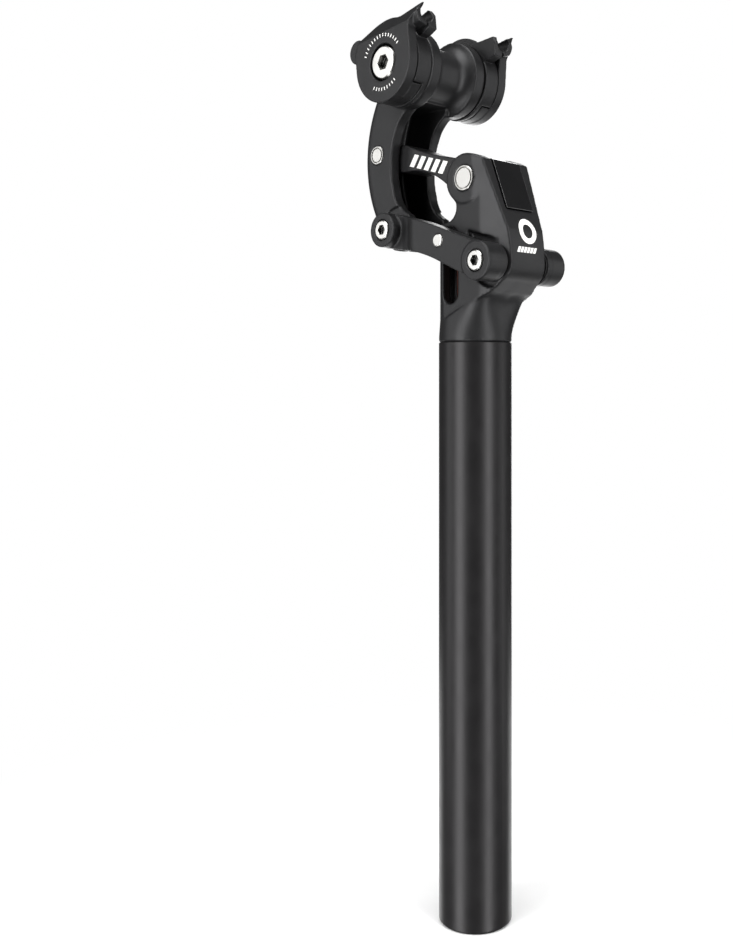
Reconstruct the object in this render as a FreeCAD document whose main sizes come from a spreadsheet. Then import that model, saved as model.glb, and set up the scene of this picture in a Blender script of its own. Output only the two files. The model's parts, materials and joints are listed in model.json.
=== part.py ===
import FreeCAD, Part
import math
import os

import Sketcher

# Parallelogram suspension seatpost. Millimetres, degrees.
# +X forward, +Y left, +Z up. The origin is on the post's axis, where the head meets the tube.
# Near side is -Y and far side is +Y.

V = FreeCAD.Vector
doc = FreeCAD.newDocument("suspension_seatpost")

# ---------------------------------------------------------------- driving dimensions

CELLS = {
    # post tube
    "post_radius": 15.45,
    "post_length": 244.1,
    "post_bore": 13.2,
    "seam_bevel": 0.4,
    # the four link pivots: two are fixed on the head, and both links have the same run and rise
    "low_pivot_x": 22.0,
    "low_pivot_z": 31.5,
    "top_pivot_x": 7.8,
    "top_pivot_z": 66.9,
    "link_run": 55.2,
    "link_rise": 17.0,
    "saddle_x": -26.0,
    "saddle_z": 118.0,
    "press_x": 0.0,
    "press_z": 41.3,
    # head
    "rear_radius": 14.4,
    "flat_half": 14.4,
    "ear_half": 15.4,
    "ear_gap_half": 8.3,
    "ear_radius": 10.3,
    "front_low_x": 28.4,
    "front_low_z": 45.0,
    "front_top_x": 17.6,
    "front_top_z": 72.9,
    "hub_half": 12.0,
    "hub_relief": 10.0,
    "nose_half": 10.6,
    "nose_x": 29.6,
    "head_bore": 11.0,
    "spigot_depth": 22.0,
    "slot_x": -1.0,
    "slot_half": 4.3,
    "slot_low_z": 20.2,
    "slot_top_z": 43.0,
    "rear_top_z": 49.5,
    # lower link
    "arm_inner": 15.5,
    "arm_outer": 22.6,
    "arm_waist": 19.2,
    "boss_outer": 23.6,
    "low_boss_inner": 12.6,
    "low_boss_radius": 7.9,
    "end_boss_inner": 13.0,
    "end_boss_radius": 7.4,
    "axle_radius": 4.5,
    "axle_half": 20.4,
    "axle_tap_depth": 9.0,
    "screw_radius": 3.0,
    "screw_head_radius": 4.2,
    "screw_head_seat": 21.5,
    "screw_face": 23.85,
    "screw_hex": 4.0,
    "screw_hex_depth": 1.9,
    "press_pin_radius": 2.75,
    "press_pin_half": 22.9,
    "roller_radius": 5.5,
    "roller_half": 6.0,
    # bushes
    "running_gap": 0.05,
    "bush_radius": 6.0,
    "bush_flange_radius": 7.2,
    "bush_flange": 0.45,
    # upper link
    "top_link_half": 7.7,
    "top_link_root": 7.8,
    "top_link_tip": 5.9,
    "top_pin_radius": 5.2,
    "top_bush_radius": 6.4,
    "tip_pin_radius": 4.05,
    "tip_bush_radius": 4.9,
    # saddle clamp arm
    "plate_half": 13.7,
    "plate_gap_half": 8.5,
    "plate_relief": 12.5,
    "plate_relief_radius": 11.4,
    "back_radius": 57.0,
    "back_centre_z": 81.8,
    "back_half_rise": 37.5,
    "web_thick": 3.0,
    "web_top_z": 105.4,
    "web_low_z": 48.0,
    "back_round": 5.0,
    "barrel_half": 16.5,
    "barrel_radius": 16.6,
    "barrel_waist": 11.4,
    "barrel_flange_start": 10.4,
    "barrel_bore": 5.0,
    "barrel_socket": 8.95,
    "barrel_socket_depth": 4.2,
    # saddle clamp halves, in the clamp's own frame with the cross bolt as its origin
    "cradle_start": 16.8,
    "cradle_end": 24.5,
    "cradle_radius": 16.9,
    "cradle_spigot": 8.9,
    "cap_start": 24.8,
    "cap_end": 29.6,
    "jaw_half_length": 21.4,
    "jaw_radius": 6.0,
    "jaw_top": 19.4,
    "jaw_arch": 18.2,
    "jaw_dip": 16.9,
    "horn_x": 23.6,
    "horn_z": 18.9,
    "horn_lean_z": 12.6,
    "cap_rear_z": 13.2,
    "rear_nub_x": -16.6,
    "rear_nub_z": 10.0,
    "rear_nub_radius": 5.2,
    "jaw_gap_half": 0.4,
    "rail_radius": 3.5,
    "rail_y": 22.0,
    "rail_z": 15.5,
    "skirt_z": -11.0,
    "near_tilt": 7.0,
    "far_tilt": -3.5,
    "bolt_radius": 4.0,
    "bolt_clear": 4.4,
    "bolt_head_radius": 7.35,
    "bolt_recess": 7.85,
    "bolt_seat": 26.0,
    "bolt_face": 29.4,
    "bolt_hex": 6.0,
    "bolt_hex_depth": 3.0,
    "washer_thick": 0.4,
    # spring and plunger, as heights on the post's axis
    "plunger_top_z": 35.5,
    "plunger_radius": 7.9,
    "plunger_flange": 12.6,
    "plunger_flange_z": -25.2,
    "plunger_foot_z": -31.0,
    "plunger_tail_z": -37.0,
    "sleeve_top_z": 15.5,
    "bumper_radius": 12.2,
    "spring_radius": 10.2,
    "spring_wire": 2.0,
    "spring_turns": 15.0,
    "seat_top_z": -222.0,
    "seat_spigot_z": -216.0,
    "seat_spigot": 7.5,
    "plug_top_z": -226.0,
    "plug_low_z": -240.0,
    "plug_radius": 13.15,
    "plug_hex": 10.0,
    # front cover
    "cover_half": 8.0,
    "cover_thick": 2.0,
    "cover_proud": 1.3,
    "cover_low_x": 24.15,
    "cover_low_z": 53.4,
    "cover_top_x": 16.05,
    "cover_top_z": 74.2,
}


class Size:
    """A length that carries the sheet formula it comes from, so that features can be bound to it."""

    def __init__(self, value, formula):
        self.value = value
        self.formula = formula

    def join(self, other, sign, result):
        formula = other.formula if isinstance(other, Size) else repr(float(other))
        return Size(result, "(%s %s %s)" % (self.formula, sign, formula))

    def __add__(self, other):
        return self.join(other, "+", self.value + number(other))

    def __sub__(self, other):
        return self.join(other, "-", self.value - number(other))

    def __mul__(self, other):
        return self.join(other, "*", self.value * number(other))

    def __truediv__(self, other):
        return self.join(other, "/", self.value / number(other))

    def __radd__(self, other):
        return self + other

    def __rsub__(self, other):
        return -self + other

    def __neg__(self):
        return Size(-self.value, "(0 - %s)" % self.formula)

    def root(self):
        return Size(math.sqrt(self.value), "sqrt(%s)" % self.formula)


def number(size):
    return size.value if isinstance(size, Size) else float(size)


def make_sheet():
    sheet = doc.addObject("Spreadsheet::Sheet", "dims")
    for row, (alias, value) in enumerate(CELLS.items(), start=1):
        sheet.set("A%d" % row, alias.replace("_", " "))
        sheet.set("B%d" % row, str(value))
        sheet.setAlias("B%d" % row, alias)
    doc.recompute()
    return {alias: Size(value, "dims." + alias) for alias, value in CELLS.items()}


D = make_sheet()
LOW = (D["low_pivot_x"], D["low_pivot_z"])
TOP = (D["top_pivot_x"], D["top_pivot_z"])
LOW_END = (LOW[0] - D["link_run"], LOW[1] + D["link_rise"])
TOP_END = (TOP[0] - D["link_run"], TOP[1] + D["link_rise"])
SADDLE = (D["saddle_x"], D["saddle_z"])
PRESS = (D["press_x"], D["press_z"])
NEAR, FAR = 1, -1
SIDES = ((NEAR, "near"), (FAR, "far"))
FAR_AWAY = 200.0
SUBPARTS = []


def bind(thing, path, size):
    """Set a property and, when the size comes from the sheet, bind it to its formula."""
    if "." not in path:
        setattr(thing, path, number(size))
    if isinstance(size, Size):
        thing.setExpression(path, size.formula)


# ---------------------------------------------------------------- sketches

def new_body(label):
    body = doc.addObject("PartDesign::Body", label)
    body.Label = label
    SUBPARTS.append(body)
    return body


def move_to(body, x, z):
    """Put a body's own origin on a lateral axis at x, z."""
    body.Placement = FreeCAD.Placement(V(number(x), 0, number(z)), FreeCAD.Rotation())
    if isinstance(x, Size):
        body.setExpression("Placement.Base.x", x.formula)
    if isinstance(z, Size):
        body.setExpression("Placement.Base.z", z.formula)


def new_sketch(body, name, role="XZ_Plane", offset=0.0):
    """A sketch on one of the body's origin planes, moved along the plane's normal by offset."""
    sketch = body.newObject("Sketcher::SketchObject", body.Label + "_" + name)
    plane = [item for item in body.Origin.OriginFeatures if item.Role == role][0]
    sketch.AttachmentSupport = [(plane, "")]
    sketch.MapMode = "FlatFace"
    sketch.AttachmentOffset = FreeCAD.Placement(V(0, 0, number(offset)), FreeCAD.Rotation())
    if isinstance(offset, Size):
        sketch.setExpression("AttachmentOffset.Base.z", offset.formula)
    return sketch


def pin_point(sketch, geometry, position, x, z):
    """Tie one sketch point to its two coordinates."""
    for kind, size in (("DistanceX", x), ("DistanceY", z)):
        index = sketch.addConstraint(Sketcher.Constraint(kind, -1, 1, geometry, position, number(size)))
        if isinstance(size, Size):
            sketch.setExpression("Constraints[%d]" % index, size.formula)


def set_radius(sketch, geometry, radius):
    index = sketch.addConstraint(Sketcher.Constraint("Radius", geometry, number(radius)))
    if isinstance(radius, Size):
        sketch.setExpression("Constraints[%d]" % index, radius.formula)


def circle(sketch, x, z, radius):
    geometry = sketch.addGeometry(Part.Circle(V(number(x), number(z), 0), V(0, 0, 1), number(radius)), False)
    pin_point(sketch, geometry, 3, x, z)
    set_radius(sketch, geometry, radius)


def arc_between(start, end, radius):
    """The shorter arc from start to end. A positive radius turns left, and a negative one right."""
    chord = end - start
    height = math.sqrt(max(radius * radius - chord.Length ** 2 / 4, 0.0))
    left = V(-chord.y, chord.x, 0).normalize()
    centre = (start + end) * 0.5 + left * (height if radius > 0 else -height)
    first, last = start - centre, end - centre
    begin = math.atan2(first.y, first.x)
    finish = math.atan2(last.y, last.x)
    if radius < 0:
        begin, finish = finish, begin
    base = Part.Circle(centre, V(0, 0, 1), abs(radius))
    return Part.ArcOfCircle(base, begin, finish + (2 * math.pi if finish < begin else 0.0))


def outline(sketch, corners):
    """A closed outline. A corner is (x, z), or (x, z, radius) where an arc runs to the next corner."""
    count = len(corners)
    places = [V(number(corner[0]), number(corner[1]), 0) for corner in corners]
    ends = []
    for i, corner in enumerate(corners):
        start, end = places[i], places[(i + 1) % count]
        if len(corner) == 3:
            radius = corner[2]
            index = sketch.addGeometry(arc_between(start, end, number(radius)), False)
            ends.append((index, 1, 2) if number(radius) > 0 else (index, 2, 1))
            set_radius(sketch, index, Size(abs(number(radius)), size_text(radius)))
        else:
            index = sketch.addGeometry(Part.LineSegment(start, end), False)
            ends.append((index, 1, 2))
    for i in range(count):
        here, after = ends[i], ends[(i + 1) % count]
        sketch.addConstraint(Sketcher.Constraint("Coincident", here[0], here[2], after[0], after[1]))
    for i, corner in enumerate(corners):
        pin_point(sketch, ends[i][0], ends[i][1], corner[0], corner[1])


def size_text(radius):
    """The formula of an arc's radius without its sign, which only says which way the arc turns."""
    if isinstance(radius, Size):
        return "abs(%s)" % radius.formula
    return repr(abs(float(radius)))


def flipped(corners):
    """The same half section, turned end for end along its axis."""
    return [(corner[0], -corner[1]) for corner in reversed(corners)]


def mirrored(corners):
    """The same outline on the other side of the vertical axis."""
    return [(-corner[0], corner[1]) + tuple(-value for value in corner[2:]) for corner in corners]


def hexagon(sketch, across_flats):
    """A hexagon about the sketch's origin, sized by its distance across flats."""
    corner = across_flats / math.sqrt(3)
    turns = [math.radians(60 * i) for i in range(6)]
    outline(sketch, [(corner * math.cos(turn), corner * math.sin(turn)) for turn in turns])


# ---------------------------------------------------------------- features

def pad_both(body, name, corners, half, role="XZ_Plane"):
    """Material between -half and +half of the sketch plane."""
    sketch = new_sketch(body, name + "_outline", role)
    outline(sketch, corners)
    return extrude(body, "Pad", name, sketch, half + half)


def extrude(body, kind, name, sketch, length, both=True, backwards=False):
    feature = body.newObject("PartDesign::" + kind, body.Label + "_" + name)
    feature.Profile = sketch
    if both:
        feature.SideType = "Symmetric"
    feature.Reversed = backwards
    if length is None:
        feature.Type = "ThroughAll"
    else:
        bind(feature, "Length", length)
    return feature


def cut_both(body, name, corners, half=FAR_AWAY, role="XZ_Plane"):
    sketch = new_sketch(body, name + "_outline", role)
    outline(sketch, corners)
    return extrude(body, "Pocket", name, sketch, half + half)


def slab(body, kind, name, side, start, end, draw):
    """Add or cut what draw(sketch) outlines, between two distances from the middle on one side."""
    sketch = new_sketch(body, name + "_outline", "XZ_Plane", start if side == NEAR else -start)
    draw(sketch)
    backwards = (side == FAR) if kind == "Pad" else (side == NEAR)
    return extrude(body, kind, name, sketch, end - start, both=False, backwards=backwards)


def turned(body, name, corners, role="XY_Plane", kind="Revolution"):
    """Turn a half section round the sketch's vertical axis: corners are (radius, distance along it)."""
    sketch = new_sketch(body, name + "_section", role)
    outline(sketch, corners)
    feature = body.newObject("PartDesign::" + kind, body.Label + "_" + name)
    feature.Profile = sketch
    feature.ReferenceAxis = (sketch, ["V_Axis"])
    feature.Angle = 360
    return feature


def round_disc(x, z, radius):
    return lambda sketch: circle(sketch, x, z, radius)


def ring(label, inner, outer, low, high, bevel=0.3, role="XY_Plane"):
    """A turned ring: a bush, washer, sleeve or roller."""
    body = new_body(label)
    turned(body, "ring", [
        (inner, low), (outer - bevel, low), (outer, low + bevel),
        (outer, high - bevel), (outer - bevel, high), (inner, high),
    ], role)
    return body


def soften(body, name, kind, size, chosen):
    """Round or bevel the edges of the body's shape that chosen(edge) picks."""
    doc.recompute()
    base = body.Tip
    picked = ["Edge%d" % (i + 1) for i, edge in enumerate(base.Shape.Edges) if chosen(edge)]
    feature = body.newObject("PartDesign::" + kind, body.Label + "_" + name)
    feature.Base = (base, picked)
    bind(feature, "Radius" if kind == "Fillet" else "Size", size)
    return feature


def in_plane(edge, axis, place, within=0.01):
    """True where the whole edge lies at one coordinate, such as |y| = place."""
    box = edge.BoundBox
    low, high = {"x": (box.XMin, box.XMax), "y": (box.YMin, box.YMax), "z": (box.ZMin, box.ZMax)}[axis]
    return abs(abs(low) - number(place)) < within and abs(abs(high) - number(place)) < within


# ---------------------------------------------------------------- post

def make_post_tube():
    body = new_body("post_tube")
    outer, inner, foot = D["post_radius"], D["post_bore"], -D["post_length"]
    bevel = D["seam_bevel"]
    turned(body, "wall", [
        (inner, foot + 0.6), (inner + 0.6, foot), (outer - 1.3, foot, 1.3), (outer, foot + 1.3),
        (outer, -bevel), (outer - bevel, 0.0), (inner, 0.0),
    ], "XZ_Plane")


def make_post_head():
    """Forged head: round neck, two ears for the upper link, and a cross hub for the lower link."""
    body = new_body("post_head")
    rear, flat = D["rear_radius"], D["flat_half"]
    low_x, low_z = LOW
    top_x, top_z = TOP
    pad_both(body, "profile", [
        (-rear, 4.2), (20.4, 19.6), (25.9, 24.2, 9.0),
        (low_x + 8.0, low_z), (low_x + 7.6, low_z + 6.0, 60.0), (D["front_low_x"], D["front_low_z"]),
        (D["front_top_x"], D["front_top_z"], 2.2), (16.0, 74.8, 16.0),
        (top_x, top_z + D["ear_radius"], 10.3), (top_x - 10.3, top_z, 10.3),
        (top_x - 6.4, top_z - 8.07, -6.0), (-2.2, 49.9), (-4.0, D["rear_top_z"]),
        (-rear + 2.5, D["rear_top_z"], 2.5), (-rear, D["rear_top_z"] - 2.5),
    ], flat)

    plan = new_sketch(body, "plan_outline", "XY_Plane")
    reach = 60.0
    outline(plan, [(-reach, -reach), (reach, -reach), (reach, reach), (-reach, reach)])
    nose, slope = D["nose_half"], 12.0
    outline(plan, [
        (0.0, -D["ear_half"]), (slope, -D["ear_half"]), (D["nose_x"], -nose), (34.0, -nose),
        (34.0, nose), (D["nose_x"], nose), (slope, D["ear_half"]), (0.0, D["ear_half"], 14.9),
        (-rear, 0.0, 14.9),
    ])
    extrude(body, "Pocket", "plan", plan, FAR_AWAY * 2)

    make_neck(body)
    turned(body, "spigot", [
        (0.0, -D["spigot_depth"]), (D["post_bore"] - 0.5, -D["spigot_depth"]),
        (D["post_bore"], -D["spigot_depth"] + 0.5), (D["post_bore"], 0.0),
        (D["post_radius"] - D["seam_bevel"], 0.0), (D["post_radius"], D["seam_bevel"]),
        (0.0, D["seam_bevel"] + 0.5),
    ], "XZ_Plane")

    for side, word in SIDES:
        slab(body, "Pocket", word + "_flat", side, flat, flat + 8.0, lambda sketch: outline(sketch, [
            (-30.0, -2.0), (24.0, 21.6), (40.0, 24.0), (40.0, 90.0), (-30.0, 90.0)]))
        slab(body, "Pad", word + "_ear_boss", side, D["ear_gap_half"], D["ear_half"],
             round_disc(top_x, top_z, D["ear_radius"]))
        slab(body, "Pocket", word + "_hub_relief", side, D["hub_half"], flat + 8.0,
             lambda sketch: outline(sketch, [
                 (9.0, 45.4), (low_x, 41.5), (40.0, 39.4), (40.0, 22.0),
                 (low_x + 6.6, low_z - 7.5, -10.0), (low_x - 2.6, low_z - 9.66, -10.0),
                 (low_x - 9.9, low_z - 1.4), (10.4, 36.0)]))
        side_plan = new_sketch(body, word + "_bevel_outline", "XY_Plane")
        outline(side_plan, [
            (slope, D["ear_half"] * -side), (D["nose_x"], nose * -side), (40.0, -8.2 * side),
            (40.0, -22.0 * side), (slope, -22.0 * side)])
        extrude(body, "Pocket", word + "_bevel", side_plan, FAR_AWAY * 2)

    cut_both(body, "ear_gap", [
        (-30.0, 45.5), (-2.0, 45.5), (5.0, 53.0), (23.0, 53.4), (40.0, 53.4), (40.0, 90.0), (-30.0, 90.0),
    ], D["ear_gap_half"])

    bore = new_sketch(body, "bore_outline", "XY_Plane", 48.0)
    circle(bore, 0.0, 0.0, D["head_bore"])
    extrude(body, "Pocket", "bore", bore, 48.0 + D["spigot_depth"] + 1.0, both=False)

    cut_both(body, "slot", [
        (D["slot_x"] - D["slot_half"], D["slot_low_z"], D["slot_half"]),
        (D["slot_x"], D["slot_low_z"] - D["slot_half"], D["slot_half"]),
        (D["slot_x"] + D["slot_half"], D["slot_low_z"]),
        (D["slot_x"] + D["slot_half"], D["slot_top_z"], D["slot_half"]),
        (D["slot_x"], D["slot_top_z"] + D["slot_half"], D["slot_half"]),
        (D["slot_x"] - D["slot_half"], D["slot_top_z"]),
    ])
    holes = new_sketch(body, "cross_holes_outline")
    circle(holes, low_x, low_z, D["bush_radius"])
    circle(holes, top_x, top_z, D["top_pin_radius"])
    extrude(body, "Pocket", "cross_holes", holes, FAR_AWAY)
    return body


def make_neck(body):
    """Lofted neck: round where it meets the tube, squarer and longer in front where it meets the hub."""
    neck = body.newObject("PartDesign::AdditiveLoft", body.Label + "_neck")
    sections = []
    for i, (height, front, rear, half, power) in enumerate((
            (D["seam_bevel"], D["post_radius"], D["post_radius"], D["post_radius"], 2.0),
            (4.0, 15.5, 15.2, 15.4, 2.05),
            (9.0, 16.0, 14.7, 15.2, 2.6),
            (14.5, 17.0, 14.5, 15.0, 3.8),
            (20.0, 20.8, 14.4, 14.8, 5.0))):
        section = new_sketch(body, "neck_section_%d" % i, "XY_Plane", height)
        section.addGeometry(squared_loop(number(front), number(rear), number(half), power), False)
        sections.append(section)
    neck.Profile = sections[0]
    neck.Sections = sections[1:]
    neck.Ruled = False


def squared_loop(front, rear, half, power, count=32):
    """A closed loop that is round behind and, by its power, squarer in front."""
    points = []
    for i in range(count):
        turn = 2 * math.pi * i / count
        along, across = math.cos(turn), math.sin(turn)
        bend = 2.0 / power if along > 0 else 1.0
        x = math.copysign(abs(along) ** bend, along) * (front if along > 0 else rear)
        y = math.copysign(abs(across) ** bend, across) * half
        points.append(V(x, y, 0))
    curve = Part.BSplineCurve()
    curve.interpolate(Points=points, PeriodicFlag=True)
    return curve


def make_upper_fixed_pin():
    """Pin pressed through both ears. A turned groove leaves a rim round each bright end."""
    body = new_body("upper_fixed_pin")
    move_to(body, *TOP)
    radius, end = D["top_pin_radius"], D["ear_half"] + 0.1
    turned(body, "pin", [
        (0.0, -end), (radius - 0.9, -end), (radius - 0.7, -end + 0.35), (radius - 0.4, -end),
        (radius, -end + 0.3), (radius, end - 0.3), (radius - 0.4, end), (radius - 0.7, end - 0.35),
        (radius - 0.9, end), (0.0, end),
    ])


def make_front_cover():
    """Glossy cover between the ears, a little proud of them, with a lug on each side to hold it."""
    body = new_body("front_cover")
    low_x, low_z = D["cover_low_x"], D["cover_low_z"]
    top_x, top_z = D["cover_top_x"], D["cover_top_z"]
    thick, proud = D["cover_thick"], D["cover_proud"]
    pad_both(body, "plate", [
        (low_x - thick, low_z), (low_x, low_z), (low_x + proud, low_z + 0.4),
        (top_x + proud + 0.6, top_z - 0.8, 2.4), (top_x - 0.8, top_z + 0.6), (top_x - thick, top_z + 0.3),
    ], D["cover_half"])
    lug_x, lug_z = low_x - thick, low_z + 1.0
    pad_both(body, "lugs", [
        (lug_x, lug_z), (lug_x + 1.0, lug_z), (lug_x - 0.2, lug_z + 3.0), (lug_x - 1.2, lug_z + 3.0),
    ], D["ear_gap_half"])


def make_bushes(label, centre, inner, outer, flange, start, end, face):
    """A flanged plain bush on each side, pressed in from outside."""
    for side, word in SIDES:
        body = new_body(word + "_" + label)
        move_to(body, *centre)
        corners = [(inner, start), (outer, start), (outer, end), (flange, end), (flange, end + face),
                   (inner, end + face)]
        turned(body, "bush", corners if side == FAR else flipped(corners))


def make_post_inside():
    """What works inside the tube: guide, top-out pad, spring seat and preload plug."""
    ring("guide_sleeve", D["plunger_radius"] + D["running_gap"], D["head_bore"],
         -D["spigot_depth"], D["sleeve_top_z"], 0.4, "XZ_Plane")
    ring("top_out_bumper", D["plunger_radius"] + 0.6, D["bumper_radius"],
         D["plunger_flange_z"] + 0.2, -D["spigot_depth"], 0.5, "XZ_Plane")
    seat = new_body("spring_seat")
    spigot, top, low = D["seat_spigot"], D["seat_top_z"], D["plug_top_z"]
    turned(seat, "seat", [
        (0.0, low), (D["plunger_flange"], low), (D["plunger_flange"], top), (spigot, top),
        (spigot, D["seat_spigot_z"] - 0.6), (spigot - 0.6, D["seat_spigot_z"]), (0.0, D["seat_spigot_z"]),
    ], "XZ_Plane")


def make_preload_plug():
    """Threaded plug with a hexagon socket that opens downwards."""
    body = new_body("preload_plug")
    top, low, radius = D["plug_top_z"] - 0.1, D["plug_low_z"], D["plug_radius"]
    turned(body, "plug", [
        (0.0, low), (radius - 0.7, low), (radius, low + 0.7), (radius, top - 0.7), (radius - 0.7, top),
        (0.0, top),
    ], "XZ_Plane")
    socket = new_sketch(body, "socket_outline", "XY_Plane", low + 8.0)
    hexagon(socket, D["plug_hex"])
    extrude(body, "Pocket", "socket", socket, 9.0, both=False)


def make_spring():
    """Main coil spring, from the spring seat up to the plunger's flange."""
    wire, radius = D["spring_wire"], D["spring_radius"]
    low, high = D["seat_top_z"] + wire, D["plunger_foot_z"] - wire
    helix = doc.addObject("Part::Helix", "spring_path")
    bind(helix, "Radius", radius)
    bind(helix, "Height", high - low)
    bind(helix, "Pitch", (high - low) / D["spring_turns"])
    section = doc.addObject("Part::Circle", "spring_section")
    bind(section, "Radius", wire)
    section.Placement = FreeCAD.Placement(V(number(radius), 0, 0), FreeCAD.Rotation(V(1, 0, 0), 90))
    section.setExpression("Placement.Base.x", radius.formula)
    spring = doc.addObject("Part::Sweep", "main_spring")
    spring.Label = "main_spring"
    spring.Sections = [section]
    spring.Spine = (helix, [])
    spring.Solid = True
    spring.Frenet = True
    spring.Placement = FreeCAD.Placement(V(0, 0, number(low)), FreeCAD.Rotation())
    spring.setExpression("Placement.Base.z", low.formula)
    SUBPARTS.append(spring)
    ring("damping_elastomer", 1.5, D["seat_spigot"] - 0.7, D["seat_spigot_z"], D["plunger_tail_z"], 0.8,
         "XZ_Plane")


def make_plunger():
    body = new_body("plunger")
    rod, flange, spigot = D["plunger_radius"], D["plunger_flange"], D["seat_spigot"]
    top, shelf, foot, tail = (D[name] for name in (
        "plunger_top_z", "plunger_flange_z", "plunger_foot_z", "plunger_tail_z"))
    turned(body, "plunger", [
        (0.0, tail), (spigot - 0.6, tail), (spigot, tail + 0.6), (spigot, foot), (flange, foot),
        (flange, shelf - 0.5), (flange - 0.5, shelf), (rod, shelf), (rod, top - 0.8), (rod - 0.8, top),
        (0.0, top),
    ], "XZ_Plane")


# ---------------------------------------------------------------- lower link

def make_lower_arm(side, word):
    """One side arm of the lower link, with a round boss at each end."""
    body = new_body(word + "_lower_arm")
    low_x, low_z = LOW
    end_x, end_z = LOW_END
    round_end = 7.6

    def side_view(sketch):
        outline(sketch, [
            (end_x, end_z + round_end, 7.6), (end_x - round_end, end_z, 7.6),
            (end_x, end_z - round_end), (end_x + 11.3, end_z - 9.3, -80.0),
            (low_x - 23.0, low_z + 1.9), (low_x - 5.6, low_z - 5.7, 8.0), (low_x, low_z - 8.0, 8.0),
            (low_x + 8.0, low_z, 8.0), (low_x, low_z + 8.0), (low_x - 4.8, low_z + 9.2),
            (low_x - 21.1, low_z + 15.2, 220.0)])

    slab(body, "Pad", "plate", side, D["arm_inner"], D["arm_outer"], side_view)
    plan = new_sketch(body, "waist_outline", "XY_Plane")
    inner, outer = D["arm_waist"], D["arm_outer"]
    start = end_x + 8.6
    corners = [(start, inner), (start + 4.4, inner + 0.9, -9.0), (start + 10.6, outer),
               (start + 10.6, outer + 9.0), (end_x - 20.0, outer + 9.0), (end_x - 20.0, inner)]
    if side == NEAR:
        corners = [(corner[0], -corner[1]) + tuple(-value for value in corner[2:]) for corner in corners]
    outline(plan, corners)
    extrude(body, "Pocket", "waist", plan, FAR_AWAY * 2)
    slab(body, "Pad", "low_boss", side, D["low_boss_inner"], D["boss_outer"],
         round_disc(low_x, low_z, D["low_boss_radius"]))
    slab(body, "Pad", "end_boss", side, D["end_boss_inner"], D["boss_outer"],
         round_disc(end_x, end_z, D["end_boss_radius"]))
    for centre, name in ((LOW, "low"), (LOW_END, "end")):
        slab(body, "Pocket", name + "_axle_hole", side, D["arm_inner"] - 5.0, D["axle_half"],
             round_disc(*centre, D["axle_radius"]))
        slab(body, "Pocket", name + "_screw_hole", side, D["arm_inner"] - 5.0, D["boss_outer"] + 5.0,
             round_disc(*centre, D["screw_radius"]))
        slab(body, "Pocket", name + "_screw_seat", side, D["screw_head_seat"], D["boss_outer"] + 5.0,
             round_disc(*centre, D["screw_head_radius"] + 0.25))
    slab(body, "Pocket", "press_hole", side, D["arm_inner"] - 5.0, D["boss_outer"] + 5.0,
         round_disc(*PRESS, D["press_pin_radius"]))
    return body


def make_lower_link():
    for side, word in SIDES:
        make_lower_arm(side, word)
    for centre, label in ((LOW, "lower_fixed_axle"), (LOW_END, "lower_moving_axle")):
        axle = new_body(label)
        move_to(axle, *centre)
        end, bore = D["axle_half"], D["screw_radius"]
        depth = end - D["axle_tap_depth"]
        turned(axle, "axle", [
            (0.0, -depth), (bore, -depth), (bore, -end), (D["axle_radius"] - 0.4, -end),
            (D["axle_radius"], -end + 0.4), (D["axle_radius"], end - 0.4), (D["axle_radius"] - 0.4, end),
            (bore, end), (bore, depth), (0.0, depth),
        ])
    for side, word in SIDES:
        for centre, place in ((LOW, "fixed"), (LOW_END, "moving")):
            make_link_screw(side, "%s_%s_axle_screw" % (word, place), centre)
    pin = new_body("press_pin")
    move_to(pin, *PRESS)
    end, radius = D["press_pin_half"], D["press_pin_radius"]
    turned(pin, "pin", [
        (0.0, -end), (radius - 0.4, -end), (radius, -end + 0.4), (radius, end - 0.4), (radius - 0.4, end),
        (0.0, end),
    ])
    roller = ring("press_roller", D["press_pin_radius"] + D["running_gap"], D["roller_radius"],
                  -D["roller_half"], D["roller_half"], 0.4)
    move_to(roller, *PRESS)


def make_link_screw(side, label, centre):
    """Low-head socket screw that holds an arm on its axle."""
    body = new_body(label)
    move_to(body, *centre)
    seat, face, tip = D["screw_head_seat"], D["screw_face"], D["axle_half"] - D["axle_tap_depth"] + 0.5
    radius, head = D["screw_radius"], D["screw_head_radius"]
    corners = [(0.0, tip), (radius, tip), (radius, seat), (head, seat), (head, face - 0.5),
               (head - 0.5, face), (0.0, face)]
    if side == NEAR:
        corners = flipped(corners)
    turned(body, "screw", corners)
    floor = face - D["screw_hex_depth"]
    socket = new_sketch(body, "socket_outline", "XZ_Plane", floor if side == NEAR else -floor)
    hexagon(socket, D["screw_hex"])
    extrude(body, "Pocket", "socket", socket, 9.0, both=False, backwards=(side == NEAR))


# ---------------------------------------------------------------- upper link

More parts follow.
